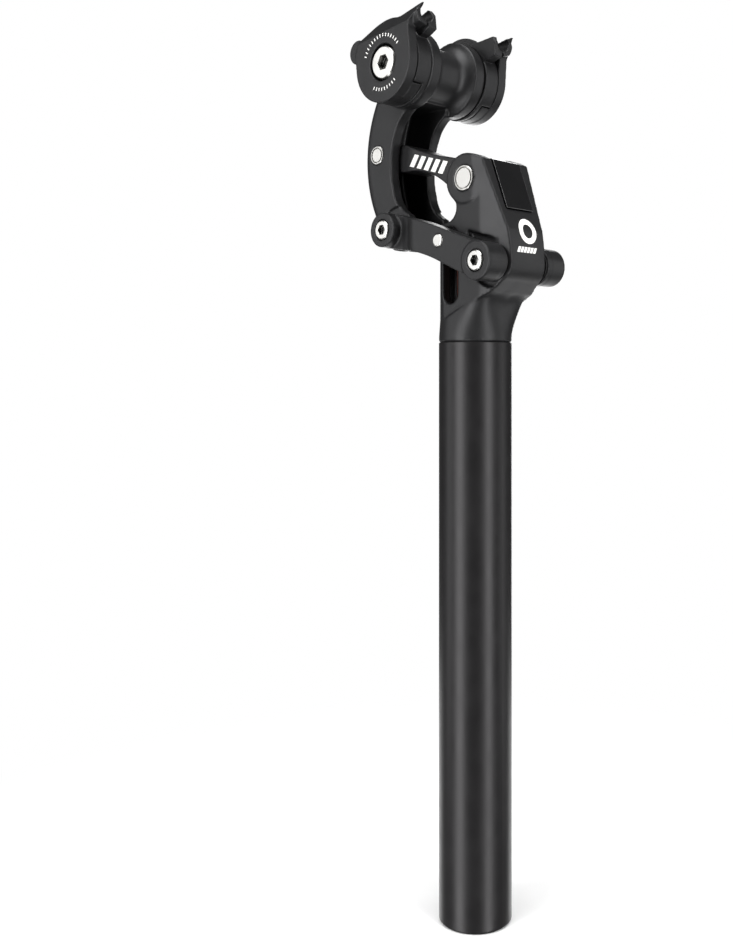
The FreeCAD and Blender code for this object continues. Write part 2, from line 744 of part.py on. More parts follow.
def make_upper_link():
    body = new_body("upper_link")
    root_x, root_z = TOP
    tip_x, tip_z = TOP_END
    root, tip = D["top_link_root"], D["top_link_tip"]
    pad_both(body, "profile", [
        (root_x, root_z + root), (root_x - 17.0, root_z + 12.2, -120.0), (tip_x + 13.0, tip_z + 3.6),
        (tip_x + 1.5, tip_z + 5.7, 5.9), (tip_x - tip, tip_z, 5.9), (tip_x + 0.6, tip_z - 5.87),
        (tip_x + 11.0, tip_z - 8.2, -38.0), (root_x - 17.0, root_z - 0.2),
        (root_x - 5.4, root_z - 5.63, 7.8),
        (root_x, root_z - root, 7.8), (root_x + root, root_z, 7.8),
    ], D["top_link_half"])
    ends = ((TOP, D["top_bush_radius"], "root"), (TOP_END, D["tip_bush_radius"], "tip"))
    for centre, radius, name in ends:
        hole = new_sketch(body, name + "_hole_outline")
        circle(hole, centre[0], centre[1], radius)
        extrude(body, "Pocket", name + "_hole", hole, FAR_AWAY)
    for centre, inner, outer, label in (
            (TOP, D["top_pin_radius"] + D["running_gap"], D["top_bush_radius"], "upper_fixed_bush"),
            (TOP_END, D["tip_pin_radius"] + D["running_gap"], D["tip_bush_radius"], "upper_moving_bush")):
        bush = ring(label, inner, outer, -D["top_link_half"] - 0.2, D["top_link_half"] + 0.2, 0.15)
        move_to(bush, *centre)


# ---------------------------------------------------------------- saddle clamp arm

def make_clamp_arm():
    """Curved arm: two side plates joined by a web behind, with the waisted clamp barrel on top."""
    body = new_body("clamp_arm")
    top_x, top_z = SADDLE
    end_x, end_z = LOW_END
    back_z, rise, web = D["back_centre_z"], D["back_half_rise"], D["web_thick"]
    web_top, web_low = D["web_top_z"], D["web_low_z"]
    pad_both(body, "plates", [
        (back_x(back_z + rise), back_z + rise, D["back_radius"]), (back_x(back_z - rise), back_z - rise),
        (-39.0, 41.2), (end_x, end_z - 8.4, 8.4),
        (end_x + 8.4, end_z),
        (end_x + 5.0, end_z + 7.6, -14.0), (-36.8, 67.5, -28.0), (-38.2, 78.0, -28.0),
        (-35.4, 92.4, -16.0), (top_x - 1.0, top_z - 16.4), (top_x + 2.0, top_z - 9.0),
        (top_x - 8.0, top_z + 6.0),
    ], D["plate_half"])
    cut_both(body, "gap", [
        (-20.0, 30.0), (-20.0, web_top), (back_x(web_top, web), web_top, D["back_radius"] - web),
        (back_x(web_low, web), web_low), (-36.0, 36.0),
    ], D["plate_gap_half"])
    soften(body, "back_rounding", "Fillet", D["back_round"], rear_edge)
    waist, flange, width = D["barrel_waist"], D["barrel_radius"], D["barrel_half"]
    start = D["barrel_flange_start"]
    barrel = new_sketch(body, "barrel_section", "XY_Plane", 0.0)
    outline(barrel, [
        (0.0, -width), (flange - 0.7, -width), (flange, -width + 0.7), (flange, -start, -6.2),
        (waist, -4.2), (waist, 4.2, -6.2), (flange, start), (flange, width - 0.7),
        (flange - 0.7, width), (0.0, width),
    ])
    barrel.AttachmentOffset = FreeCAD.Placement(V(number(top_x), 0, number(top_z)), FreeCAD.Rotation())
    barrel.setExpression("AttachmentOffset.Base.x", top_x.formula)
    barrel.setExpression("AttachmentOffset.Base.z", top_z.formula)
    spin = body.newObject("PartDesign::Revolution", "clamp_arm_barrel")
    spin.Profile = barrel
    spin.ReferenceAxis = (barrel, ["V_Axis"])
    spin.Angle = 360
    through = new_sketch(body, "bolt_hole_outline")
    circle(through, top_x, top_z, D["barrel_bore"])
    extrude(body, "Pocket", "bolt_hole", through, FAR_AWAY)
    for side, word in SIDES:
        slab(body, "Pocket", word + "_socket", side, width - D["barrel_socket_depth"], width + 5.0,
             round_disc(top_x, top_z, D["barrel_socket"]))
        slab(body, "Pocket", word + "_relief", side, D["plate_relief"], D["plate_half"] + 5.0,
             round_disc(end_x, end_z, D["plate_relief_radius"]))
    holes = new_sketch(body, "pivot_holes_outline")
    circle(holes, end_x, end_z, D["bush_radius"])
    circle(holes, *TOP_END, D["tip_pin_radius"])
    extrude(body, "Pocket", "pivot_holes", holes, FAR_AWAY)

    pin = new_body("upper_moving_pin")
    move_to(pin, *TOP_END)
    radius, end = D["tip_pin_radius"], D["plate_half"] + 0.1
    turned(pin, "pin", [
        (0.0, -end), (radius - 0.95, -end), (radius - 0.75, -end + 0.3), (radius - 0.5, -end),
        (radius, -end + 0.3), (radius, end - 0.3), (radius - 0.5, end), (radius - 0.75, end - 0.3),
        (radius - 0.95, end), (0.0, end),
    ])


def back_x(height, inset=0.0):
    """Where the arm's round back is at a height, or a line that much inside it."""
    radius = D["back_radius"] - inset
    rise = height - D["back_centre_z"]
    return -(radius * radius - rise * rise).root()


def rear_edge(edge):
    """The two long outer edges down the arm's back."""
    box = edge.BoundBox
    on_side = in_plane(edge, "y", D["plate_half"])
    middle = box.Center
    return on_side and middle.x < -42.0 and middle.z > 44.0 and box.ZLength > 4.0


# ---------------------------------------------------------------- saddle clamp halves

def place_half(body, tilt):
    """Stand a clamp part on the cross bolt's axis, tilted with its front end up."""
    body.Placement = FreeCAD.Placement(
        V(number(SADDLE[0]), 0, number(SADDLE[1])), FreeCAD.Rotation(V(0, -1, 0), number(tilt)))
    body.setExpression("Placement.Base.x", SADDLE[0].formula)
    body.setExpression("Placement.Base.z", SADDLE[1].formula)
    body.setExpression("Placement.Rotation.Angle", tilt.formula)


def make_cradle(side, word, tilt):
    """Inner half of one rail clamp: a round foot on the barrel and the inner jaw."""
    body = new_body(word + "_cradle")
    radius, top, half = D["cradle_radius"], D["jaw_top"], D["jaw_half_length"]
    start, end = D["cradle_start"], D["cradle_end"]
    low = D["rail_z"] - D["jaw_radius"] + 0.8
    front_top = top - 1.2
    slab(body, "Pad", "foot", side, start, end, lambda sketch: outline(sketch, [
        (-radius, 0.0, 16.9), (0.0, -radius, 16.9), (radius, 0.0, 16.9), (13.6, low - 0.3),
        (-13.6, low - 0.3, 16.9)]))
    slab(body, "Pad", "jaw", side, start, D["rail_y"] - D["jaw_gap_half"], lambda sketch: outline(sketch, [
        (-13.5, 8.0), (13.5, 8.0), (17.0, low - 2.2), (half, low - 0.6), (half, front_top - 2.6), (half - 1.8, front_top),
        (10.4, D["jaw_dip"], -8.0), (7.4, D["jaw_arch"], 17.0), (-7.4, D["jaw_arch"], -8.0),
        (-10.4, D["jaw_dip"]), (-14.0, D["jaw_dip"] + 0.4, 8.0), (-half, low + 2.6),
        (-half + 1.0, low + 0.6), (-17.0, low)]))
    slab(body, "Pocket", "skirt_room", side, start + 2.4, end + 4.0, lambda sketch: outline(sketch, [
        (-20.0, -20.0), (20.0, -20.0), (20.0, D["skirt_z"]), (-20.0, D["skirt_z"])]))
    slab(body, "Pad", "spigot", side, D["barrel_half"] - D["barrel_socket_depth"] + 0.4, start + 1.0,
         round_disc(0.0, 0.0, D["cradle_spigot"]))
    finish_half(body, side, tilt)


def cap_top_line():
    """The cap's upper edge from the horn over the bolt to the low rear end."""
    arch, dip = D["jaw_arch"], D["jaw_dip"]
    return [(D["horn_x"], D["horn_z"]), (11.4, dip, -9.0), (7.6, arch - 0.6, 18.0), (-5.4, arch - 0.6),
            (-14.6, D["cap_rear_z"])]


def make_cap(side, word, tilt):
    """Outer half of one rail clamp: a round face with a horn at its front, the outer jaw and a skirt."""
    body = new_body(word + "_cap")
    radius, top, half = D["cradle_radius"], D["jaw_top"], D["jaw_half_length"]
    start, end = D["cap_start"], D["cap_end"]
    low = D["rail_z"] - D["jaw_radius"] + 0.8
    slab(body, "Pad", "face", side, start, end, lambda sketch: outline(sketch, [
        (-radius, 0.0, 16.9), (0.0, -radius, 16.9), (radius, 0.0), (radius, low, -9.0),
        (20.6, top - 4.0, -9.0)] + cap_top_line() + [(-radius, low - 2.0)]))
    jaw = new_sketch(body, "jaw_section", "YZ_Plane")
    rail_y, rail_z, round_jaw = D["rail_y"], D["rail_z"], D["jaw_radius"]
    inner = rail_y + D["jaw_gap_half"]
    corners = [(inner, low), (rail_y + 1.0, low), (rail_y + 4.2, rail_z - 4.28, 6.0),
               (rail_y + round_jaw, rail_z, 6.0), (rail_y + 4.55, top), (inner, top)]
    outline(jaw, corners if side == FAR else mirrored(corners))
    extrude(body, "Pad", "jaw", jaw, half * 2)
    ceiling = top + 3.0
    slab(body, "Pocket", "jaw_top", side, inner - 1.0, end + 5.0, lambda sketch: outline(sketch, [
        (half + 5.0, ceiling)] + cap_top_line() + [(-half, low + 1.0), (-half - 5.0, low + 1.0),
                                                   (-half - 5.0, ceiling)]))
    lip = rail_y + 2.3
    inside = [(inner - 1.0, rail_z + 2.2), (lip, rail_z + 2.2), (lip, ceiling), (inner - 1.0, ceiling)]
    outside = [(end + 5.0, D["horn_lean_z"]), (end, D["horn_lean_z"]), (rail_y + 4.2, D["horn_z"]),
               (rail_y + 4.2, ceiling), (end + 5.0, ceiling)]
    for name, corners in (("horn_inside", inside), ("horn_outside", outside)):
        relief = new_sketch(body, name + "_section", "YZ_Plane")
        outline(relief, corners if side == FAR else mirrored(corners))
        extrude(body, "Pocket", name, relief, FAR_AWAY)
    slab(body, "Pad", "rear_nub", side, start, end - 1.4,
         round_disc(D["rear_nub_x"], D["rear_nub_z"], D["rear_nub_radius"]))
    slab(body, "Pad", "skirt", side, D["cradle_start"] + 2.8, start + 1.0, lambda sketch: outline(sketch, [
        (-12.3, D["skirt_z"] - 0.4, 16.9), (12.3, D["skirt_z"] - 0.4)]))
    slab(body, "Pocket", "bolt_recess", side, D["bolt_seat"] - D["washer_thick"], end + 5.0,
         round_disc(0.0, 0.0, D["bolt_recess"]))
    finish_half(body, side, tilt)


def finish_half(body, side, tilt):
    """The rail channel and the bolt's clearance hole, then the part's own tilt."""
    channel = new_sketch(body, "channel_outline", "YZ_Plane")
    circle(channel, D["rail_y"] * -side, D["rail_z"], D["rail_radius"])
    extrude(body, "Pocket", "channel", channel, FAR_AWAY)
    hole = new_sketch(body, "bolt_hole_outline")
    circle(hole, 0.0, 0.0, D["bolt_clear"])
    extrude(body, "Pocket", "bolt_hole", hole, FAR_AWAY)
    place_half(body, tilt)


def make_clamp_bolt():
    """Cross bolt with its washers, and the threaded nut on the far side."""
    seat, face, radius = D["bolt_seat"], D["bolt_face"], D["bolt_radius"]
    head, tip = D["bolt_head_radius"], D["bolt_seat"] + 1.6
    bolt = new_body("clamp_bolt")
    move_to(bolt, *SADDLE)
    turned(bolt, "bolt", [
        (0.0, -face), (head - 0.9, -face), (head, -face + 0.9), (head, -seat), (radius, -seat),
        (radius, tip - 0.6), (radius - 0.6, tip), (0.0, tip),
    ])
    socket = new_sketch(bolt, "socket_outline", "XZ_Plane", face - D["bolt_hex_depth"])
    hexagon(socket, D["bolt_hex"])
    extrude(bolt, "Pocket", "socket", socket, 9.0, both=False, backwards=True)
    nut = new_body("clamp_nut")
    move_to(nut, *SADDLE)
    turned(nut, "nut", [
        (radius, seat), (head, seat), (head, face - 0.9), (head - 0.9, face), (0.0, face), (0.0, tip),
        (radius, tip)])
    for side, word in SIDES:
        washer = new_body(word + "_clamp_washer")
        move_to(washer, *SADDLE)
        low, rim = seat - D["washer_thick"], head + 0.2
        corners = [(radius, low), (rim, low), (rim, seat), (radius, seat)]
        turned(washer, "washer", corners if side == FAR else flipped(corners))


# ---------------------------------------------------------------- build and write

def main():
    make_post_tube()
    make_post_head()
    make_upper_fixed_pin()
    make_front_cover()
    make_bushes("lower_fixed_bush", LOW, D["axle_radius"] + D["running_gap"], D["bush_radius"],
                D["bush_flange_radius"], D["hub_half"] - 9.0, D["hub_half"], D["bush_flange"])
    make_post_inside()
    make_preload_plug()
    make_spring()
    make_plunger()
    make_lower_link()
    make_upper_link()
    make_clamp_arm()
    make_bushes("lower_moving_bush", LOW_END, D["axle_radius"] + D["running_gap"], D["bush_radius"],
                D["bush_flange_radius"], D["plate_gap_half"], D["plate_relief"], D["bush_flange"])
    for (side, word), tilt in zip(SIDES, (D["near_tilt"], D["far_tilt"])):
        make_cradle(side, word, tilt)
        make_cap(side, word, tilt)
    make_clamp_bolt()
    doc.recompute()
    check_and_write()


def check_and_write():
    for item in doc.Objects:
        if "Invalid" in item.State or "Error" in item.State:
            raise RuntimeError("%s did not build: %s" % (item.Name, item.State))
    for part in SUBPARTS:
        if part.Shape.isNull() or not part.Shape.isValid() or not part.Shape.Solids:
            raise RuntimeError("%s has no valid solid" % part.Label)
    os.makedirs("parts", exist_ok=True)
    for part in SUBPARTS:
        part.Shape.exportStep("parts/%s.step" % part.Label)
        print("%-26s %d solid, %9.1f mm3" % (part.Label, len(part.Shape.Solids), part.Shape.Volume))


main()
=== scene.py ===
import json
import math

import bmesh
import bpy
from mathutils import Matrix, Vector
from mathutils.bvhtree import BVHTree


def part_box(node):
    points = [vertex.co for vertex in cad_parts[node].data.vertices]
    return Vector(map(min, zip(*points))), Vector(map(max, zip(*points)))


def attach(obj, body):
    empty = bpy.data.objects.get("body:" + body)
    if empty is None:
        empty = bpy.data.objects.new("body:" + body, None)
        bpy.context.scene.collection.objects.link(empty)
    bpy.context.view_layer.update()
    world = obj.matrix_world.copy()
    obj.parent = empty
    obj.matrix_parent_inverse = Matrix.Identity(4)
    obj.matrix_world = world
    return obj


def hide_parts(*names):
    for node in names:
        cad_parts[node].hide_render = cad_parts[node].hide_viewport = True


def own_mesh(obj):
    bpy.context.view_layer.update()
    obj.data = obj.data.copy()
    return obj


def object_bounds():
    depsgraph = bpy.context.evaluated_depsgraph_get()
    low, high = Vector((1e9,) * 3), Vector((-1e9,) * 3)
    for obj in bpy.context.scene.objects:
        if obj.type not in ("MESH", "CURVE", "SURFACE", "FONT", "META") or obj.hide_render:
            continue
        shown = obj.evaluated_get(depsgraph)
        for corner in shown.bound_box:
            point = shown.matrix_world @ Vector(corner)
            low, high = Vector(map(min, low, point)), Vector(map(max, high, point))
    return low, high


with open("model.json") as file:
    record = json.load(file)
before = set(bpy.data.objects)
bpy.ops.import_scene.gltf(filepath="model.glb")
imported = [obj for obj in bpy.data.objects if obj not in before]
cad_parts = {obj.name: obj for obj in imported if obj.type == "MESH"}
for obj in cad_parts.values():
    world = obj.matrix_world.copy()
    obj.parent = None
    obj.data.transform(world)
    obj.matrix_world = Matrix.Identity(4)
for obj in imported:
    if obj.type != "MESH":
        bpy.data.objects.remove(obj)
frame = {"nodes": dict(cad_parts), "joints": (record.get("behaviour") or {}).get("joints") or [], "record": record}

# Looks of a parallelogram suspension seatpost. Metres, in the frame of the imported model:
# +X forward, +Y to the rider's left, +Z up, and the origin where the head meets the tube.

bl_info = {
    "name": "Suspension Seatpost Looks",
    "version": (1, 0, 0),
    "blender": (4, 5, 0),
    "location": "View3D > Sidebar > Seatpost",
    "description": "Rounded forgings, finishes, printed marks and a studio for a seatpost",
    "category": "Object",
}

CAD_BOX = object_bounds()
MM = 0.001
UP = Vector((0, 0, 1))


# ---------------------------------------------------------------- places from the frame

def joint_named(name):
    return next(item for item in frame["joints"] if item["name"] == name)


def body_of(node):
    """The CAD body that a node belongs to."""
    for body, members in frame["record"]["behaviour"]["bodies"].items():
        if node in members:
            return body
    raise RuntimeError("no body holds %s" % node)


SADDLE_BOLT = joint_named("near_saddle_tilt")["pos_m"]

# The pins with grooved ends: node, radius and half length in millimetres.
GROOVED_PINS = (("upper_fixed_pin", 5.2, 15.5), ("upper_moving_pin", 4.05, 13.8))
# The fasteners whose rims are rounded.
ROUNDED_FASTENERS = ("clamp_bolt", "clamp_nut", "press_pin",
                     "near_fixed_axle_screw", "far_fixed_axle_screw",
                     "near_moving_axle_screw", "far_moving_axle_screw")

# Where the marks sit, in millimetres and degrees.
AHEAD_OF_HEAD = 60
EMBLEM_ACROSS = 1.0
EMBLEM_HEIGHT = 44.6
EMBLEM_HOLE = 0.56            # of the ring's outer radius
BAR_ACROSS = -0.5
BAR_HEIGHT = 36.8
BAR_BLOCKS = 6
BAR_FILL = 0.76               # of the blocks' pitch
BAR_HALF_HEIGHT = 1.15
BAR_HALF_LEAN = 0.6
STRIPES_START = (-29.5, -7.7, 79.9)
STRIPE_HEIGHT = 5.6
STRIPE_FILL = 0.6             # of the stripes' pitch
UPPER_LINK_SLOPE = -16.0
NEAR_CAP_FACE = -29.6
NEAR_CLAMP_TILT = 7.0
TICK_LENGTH = 1.35
TICK_WIDTH = 0.42


# ---------------------------------------------------------------- sizes and colours

def linear(colour):
    """An sRGB hex colour as linear red, green, blue and alpha."""
    parts = [int(colour[i:i + 2], 16) / 255 for i in (0, 2, 4)]
    channels = [v / 12.92 if v <= 0.04045 else ((v + 0.055) / 1.055) ** 2.4 for v in parts]
    return (*channels, 1.0)


def length_property(name, description, millimetres):
    return bpy.props.FloatProperty(
        name=name, description=description, default=millimetres * MM,
        min=0.0, precision=5, subtype="DISTANCE", unit="LENGTH")


def power_property(name, description, watts):
    return bpy.props.FloatProperty(
        name=name, description=description, default=watts, min=0.0, unit="POWER")


def count_property(name, description, count):
    return bpy.props.IntProperty(name=name, description=description, default=count, min=0)


def colour_property(name, description, colour):
    return bpy.props.FloatVectorProperty(
        name=name, description=description, default=linear(colour),
        min=0.0, max=1.0, size=4, subtype="COLOR")


class SeatpostSizes(bpy.types.PropertyGroup):
    head_grain: length_property("Head grain", "Square size of the head and arm surfaces", 0.5)
    link_grain: length_property("Link grain", "Square size of the links' surface", 0.3)
    clamp_grain: length_property("Clamp grain", "Square size of the saddle clamp's surface", 0.25)
    head_passes: count_property("Head passes", "How often the head's edges are softened", 9)
    arm_passes: count_property("Arm passes", "How often the clamp arm's edges are softened", 7)
    link_passes: count_property("Link passes", "How often the links' edges are softened", 14)
    cap_passes: count_property("Cap passes", "How often the clamp caps' edges are softened", 14)
    cradle_passes: count_property("Cradle passes", "How often the cradles' edges are softened", 12)
    cover_edge: length_property("Cover edge", "Radius on the moulded cover's edges", 0.35)
    steel_edge: length_property("Fastener edge", "Radius on the fasteners' edges", 0.12)
    ink_height: length_property("Ink height", "Thickness of a printed mark", 0.05)
    emblem_radius: length_property("Emblem radius", "Outer radius of the head's printed ring", 5.2)
    emblem_bar_half: length_property("Emblem bar", "Half length of the bar under the ring", 5.8)
    stripe_pitch: length_property("Stripe pitch", "Distance between the upper link's stripes", 4.6)
    tick_circle: length_property("Tick circle", "Radius of the ticks round the clamp bolt", 11.4)


class SeatpostColours(bpy.types.PropertyGroup):
    anodise: colour_property("Anodise", "Black dye in the forged and machined parts", "222223")
    tube: colour_property("Tube", "Black dye in the drawn tube", "1f1e1f")
    cover: colour_property("Cover", "Moulded front cover", "0b0b0c")
    steel: colour_property("Plated steel", "Screw heads and pin ends", "c9c8c5")
    brown: colour_property("Brown nylon", "Plunger in the head's slot", "3a1d15")
    ink: colour_property("Ink", "Printed marks", "f2f1ee")
    rubber: colour_property("Elastomer", "Damper and top-out pad", "7c3b2a")


class SeatpostStage(bpy.types.PropertyGroup):
    azimuth: bpy.props.FloatProperty(
        name="Azimuth", description="Where the camera stands, turned from the near side",
        default=math.radians(43.52), subtype="ANGLE", unit="ROTATION")
    distance: length_property("Distance", "From the tube's axis to the camera", 470.71)
    drop: length_property("Drop", "How far the camera is below the seam", 14.77)
    lens: bpy.props.FloatProperty(
        name="Lens", description="Focal length in millimetres", default=42.02, unit="CAMERA")
    shift_x: bpy.props.FloatProperty(
        name="Shift X", description="Sideways lens shift", default=-0.1146)
    shift_y: bpy.props.FloatProperty(
        name="Shift Y", description="Upright lens shift", default=-0.1030)
    floor: colour_property("Floor", "Pale studio floor", "f4f4f4")
    reach: length_property("Light reach", "From the tube's axis to the softboxes", 1100)
    side_light: power_property("Side lights", "Power of each tall side light", 30.0)
    wide_light: power_property("Wide lights", "Power of each flanking light", 3.4)
    back_light: power_property("Back light", "Power of the light behind the post", 8.0)
    low_light: power_property("Low lights", "Power of each light behind and below", 5.0)
    top_light: power_property("Top light", "Power of the top light", 14.0)


# ---------------------------------------------------------------- materials

def new_material(name):
    """A material with an empty tree but for its Principled shader and its output."""
    material = bpy.data.materials.new(name)
    material.use_nodes = True
    return material, material.node_tree, material.node_tree.nodes["Principled BSDF"]


def add(tree, kind, settings=None, inputs=None):
    """Add a node. settings are its own values. An input is a value, or the socket that feeds it."""
    node = tree.nodes.new(kind)
    for name, value in (settings or {}).items():
        setattr(node, name, value)
    for name, value in (inputs or {}).items():
        if isinstance(value, bpy.types.NodeSocket):
            tree.links.new(value, node.inputs[name])
        else:
            node.inputs[name].default_value = value
    return node


def set_shader(shader, values):
    for name, value in values.items():
        shader.inputs[name].default_value = value


def grit(tree, shader, size, depth, spread, axis_stretch=(1, 1, 1)):
    """Fine roughness: its bump, and a spread of gloss about the shader's own.

    size and depth are the grain's, in metres. Blasted, drawn and ground grain is drawn coarser than
    it is, because the real one is too fine to show. Returns the fine noise, a broad noise and the
    place on the object.
    """
    place = add(tree, "ShaderNodeTexCoord").outputs["Object"]
    stretched = add(tree, "ShaderNodeMapping", {}, {"Vector": place, "Scale": axis_stretch})
    fine = add(tree, "ShaderNodeTexNoise", {}, {
        "Vector": stretched.outputs["Vector"], "Scale": 1 / size, "Detail": 3.0,
        "Roughness": 0.6}).outputs["Fac"]
    bump = add(tree, "ShaderNodeBump", {}, {"Strength": 1.0, "Distance": depth, "Height": fine})
    tree.links.new(bump.outputs["Normal"], shader.inputs["Normal"])
    middle = shader.inputs["Roughness"].default_value
    broad = add(tree, "ShaderNodeTexNoise", {}, {
        "Vector": place, "Scale": 120.0, "Detail": 4.0}).outputs["Fac"]
    gloss = add(tree, "ShaderNodeMapRange", {}, {
        "Value": broad, "From Min": 0.3, "From Max": 0.7,
        "To Min": middle - spread, "To Max": middle + spread})
    tree.links.new(gloss.outputs["Result"], shader.inputs["Roughness"])
    return fine, broad, place


def tint(tree, shader, factor, dark, light):
    """Colour that drifts between two tones."""
    ramp = add(tree, "ShaderNodeMix", {"data_type": "RGBA"}, {"Factor": factor})
    ramp.inputs["A"].default_value = dark
    ramp.inputs["B"].default_value = light
    tree.links.new(ramp.outputs["Result"], shader.inputs["Base Color"])


def shade(colour, factor):
    return tuple(channel * factor for channel in colour[:3]) + (1.0,)


def blasted_anodised(colours):
    """Forged aluminium, bead blasted and dyed black: a soft metallic sheen with a fine grit."""
    material, tree, shader = new_material("black anodised forging, bead blasted")
    set_shader(shader, {"Metallic": 0.55, "Roughness": 0.42, "Specular IOR Level": 0.45})
    fine, _, _ = grit(tree, shader, 0.22 * MM, 0.012 * MM, 0.035)
    tint(tree, shader, fine, shade(colours.anodise, 0.8), shade(colours.anodise, 1.25))
    return material


def drawn_anodised(colours):
    """Drawn aluminium tube, dyed black: a satin gloss with faint lines along its length."""
    material, tree, shader = new_material("black anodised tube, drawn")
    set_shader(shader, {"Metallic": 0.6, "Roughness": 0.38, "Specular IOR Level": 0.5})
    _, broad, _ = grit(tree, shader, 0.25 * MM, 0.006 * MM, 0.03, (1, 1, 0.02))
    tint(tree, shader, broad, shade(colours.tube, 0.9), shade(colours.tube, 1.12))
    return material


def plated_steel(colours):
    """Bright zinc plated steel: a dulled mirror, with painted shade darkening the sockets and other hollows."""
    material, tree, shader = new_material("bright zinc plated steel, turned")
    set_shader(shader, {"Metallic": 1.0, "Roughness": 0.3})
    grit(tree, shader, 0.15 * MM, 0.004 * MM, 0.06)
    # Painted shade: the colour darkens to near black where ambient occlusion finds walls within 2.5 mm, as in the
    # hex sockets.
    open_sky = add(tree, "ShaderNodeAmbientOcclusion", {"samples": 8}, {"Distance": 2.5 * MM})
    socket_shade_mask = add(tree, "ShaderNodeMapRange", {}, {
        "Value": open_sky.outputs["AO"], "From Min": 0.55, "From Max": 0.9})
    tint(tree, shader, socket_shade_mask.outputs["Result"],
         shade(colours.steel, 0.05), shade(colours.steel, 0.9))
    return material


def ground_steel(colours):
    """Hardened pin steel, ground and polished: a clean, even brightness."""
    material, tree, shader = new_material("hardened steel, ground")
    set_shader(shader, {"Metallic": 1.0, "Roughness": 0.3})
    _, broad, _ = grit(tree, shader, 0.12 * MM, 0.003 * MM, 0.05)
    tint(tree, shader, broad, shade(colours.steel, 0.72), shade(colours.steel, 0.86))
    return material


def black_steel():
    """Black oxide on steel: nearly black, with an oily gloss."""
    material, tree, shader = new_material("steel, black oxide")
    set_shader(shader, {"Metallic": 0.8, "Roughness": 0.4})
    _, broad, _ = grit(tree, shader, 0.2 * MM, 0.006 * MM, 0.06)
    tint(tree, shader, broad, linear("1b1b1c"), linear("2b2b2c"))
    return material


def gloss_abs(colours):
    """Moulded ABS from a polished tool: a clear, hard gloss."""
    material, tree, shader = new_material("black ABS, polished mould")
    set_shader(shader, {"Roughness": 0.16, "IOR": 1.54,
                        "Coat Weight": 0.35, "Coat Roughness": 0.06})
    _, broad, _ = grit(tree, shader, 1.6 * MM, 0.004 * MM, 0.03)
    tint(tree, shader, broad, shade(colours.cover, 0.85), shade(colours.cover, 1.2))
    return material


def filled_nylon(name, dye):
    """Glass-filled nylon, machined: dull, with pale fibre flecks."""
    material, tree, shader = new_material(name)
    set_shader(shader, {"Roughness": 0.5, "IOR": 1.53})
    fine, _, _ = grit(tree, shader, 0.35 * MM, 0.01 * MM, 0.08)
    tint(tree, shader, fine, shade(dye, 0.7), shade(dye, 1.35))
    return material


def rubber(colours):
    """Cast polyurethane elastomer: dull and waxy, with a faint mottle."""
    material, tree, shader = new_material("polyurethane elastomer, cast")
    set_shader(shader, {"Roughness": 0.6, "IOR": 1.5})
    _, broad, _ = grit(tree, shader, 0.6 * MM, 0.01 * MM, 0.08)
    tint(tree, shader, broad, shade(colours.rubber, 0.8), shade(colours.rubber, 1.15))
    return material


def spring_steel():
    """Oil-tempered spring wire: dark, with lines along the drawn wire."""
    material, tree, shader = new_material("spring steel wire, oil tempered")
    set_shader(shader, {"Metallic": 0.9, "Roughness": 0.36})
    _, broad, _ = grit(tree, shader, 0.3 * MM, 0.006 * MM, 0.06)
    tint(tree, shader, broad, linear("232326"), linear("3a3b40"))
    return material


def pad_print(colours):
    """Pad-printed ink: an even, slightly matt film with the odd pinhole of grit."""
    material, tree, shader = new_material("white pad print ink")
    set_shader(shader, {"Roughness": 0.5, "IOR": 1.5})
    _, broad, _ = grit(tree, shader, 0.3 * MM, 0.006 * MM, 0.05)
    tint(tree, shader, broad, shade(colours.ink, 0.9), shade(colours.ink, 1.0))
    return material


def painted_floor(stage):
    """Studio floor paint: matt and even, with the faintest roller texture.

    It fades to plain white away from the post. That white shows to the lens and lights little else.
    """
    material, tree, shader = new_material("white studio paint, rolled")
    set_shader(shader, {"Roughness": 0.85})
    _, broad, place = grit(tree, shader, 3.0 * MM, 0.02 * MM, 0.03)
    tint(tree, shader, broad, shade(stage.floor, 0.98), shade(stage.floor, 1.0))
    flat = add(tree, "ShaderNodeMapping", {}, {"Vector": place, "Scale": (1, 1, 0)})
    reach = add(tree, "ShaderNodeVectorMath", {"operation": "LENGTH"}, {
        "Vector": flat.outputs["Vector"]})
    fade = add(tree, "ShaderNodeMapRange", {"interpolation_type": "SMOOTHSTEP"}, {
        "Value": reach.outputs["Value"], "From Min": 0.05, "From Max": 0.32})
    path = add(tree, "ShaderNodeLightPath")
    strength = add(tree, "ShaderNodeMapRange", {}, {
        "Value": path.outputs["Is Camera Ray"], "To Min": 0.22, "To Max": 1.0})
    wash = add(tree, "ShaderNodeEmission", {}, {
        "Color": (1, 1, 1, 1), "Strength": strength.outputs["Result"]})
    mix = add(tree, "ShaderNodeMixShader", {}, {"Fac": fade.outputs["Result"]})
    tree.links.new(shader.outputs["BSDF"], mix.inputs[1])
    tree.links.new(wash.outputs["Emission"], mix.inputs[2])
    tree.links.new(mix.outputs["Shader"], tree.nodes["Material Output"].inputs["Surface"])
    return material


FINISHES = {}


def make_finishes(colours):
    """One material for each material slot of the record, and the ink."""
    FINISHES.update({
        "anodised_tube": drawn_anodised(colours),
        "forged_black": blasted_anodised(colours),
        "gloss_cover": gloss_abs(colours),
        "zinc_steel": plated_steel(colours),
        "ground_steel": ground_steel(colours),
        "black_steel": black_steel(),
        "spring_steel": spring_steel(),
        "bush_polymer": filled_nylon("black glass-filled nylon, machined", colours.cover),
        "guide_polymer": filled_nylon("grey glass-filled nylon, machined", colours.anodise),
        "plunger_polymer": filled_nylon("brown glass-filled nylon, machined", colours.brown),
        "elastomer": rubber(colours),
        "ink": pad_print(colours),
    })


# ---------------------------------------------------------------- meshes

def slot_of(node):
    """The record's material slot of a CAD node."""
    parts = frame["record"]["subparts"]
    return next(item["material_slot"] for item in parts if item["node"] == node)


